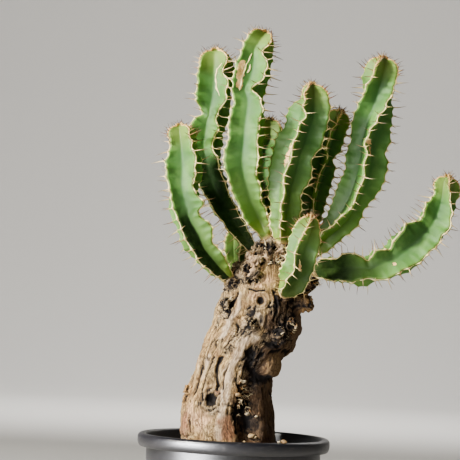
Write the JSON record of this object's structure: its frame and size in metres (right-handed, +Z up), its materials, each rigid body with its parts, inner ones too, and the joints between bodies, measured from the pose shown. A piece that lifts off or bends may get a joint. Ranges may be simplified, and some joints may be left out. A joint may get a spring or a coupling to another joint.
{
  "type": "potted euphorbia mlanjeana",
  "caption": "Caudex succulent in a round plastic pot: a thick woody trunk stands in gritty soil and carries winged green stems whose horny margins bear paired spines.",
  "frame": {"origin": "middle of the pot's flat underside", "axes": "+Z up along the pot's axis, X to the right and +Y away from the viewer in the picture's view"},
  "size_m": [0.25, 0.15, 0.453],
  "materials": {
    "pot": "dark grey moulded plastic with a satin sheen",
    "soil": "loose brown grit with tan and pale grains",
    "bark": "furrowed tan and grey bark with dark crevices and knots",
    "flesh": "matte succulent skin with a slight bloom",
    "margin": "pale horny margin and spines, brown at the tips"
  },
  "bodies": {
    "root": {"pot": "pot", "soil": "soil", "caudex": "bark", "stem_left": "flesh", "margin_left": "margin", "stem_left_back": "flesh", "margin_left_back": "margin", "stem_tall": "flesh", "margin_tall": "margin", "stem_centre": "flesh", "margin_centre": "margin", "stem_centre_back": "flesh", "margin_centre_back": "margin", "stem_right_back": "flesh", "margin_right_back": "margin", "stem_right": "flesh", "margin_right": "margin", "stem_low_right": "flesh", "margin_low_right": "margin", "stem_front": "flesh", "margin_front": "margin", "stem_small_back": "flesh", "margin_small_back": "margin"}
  },
  "joints": []
}
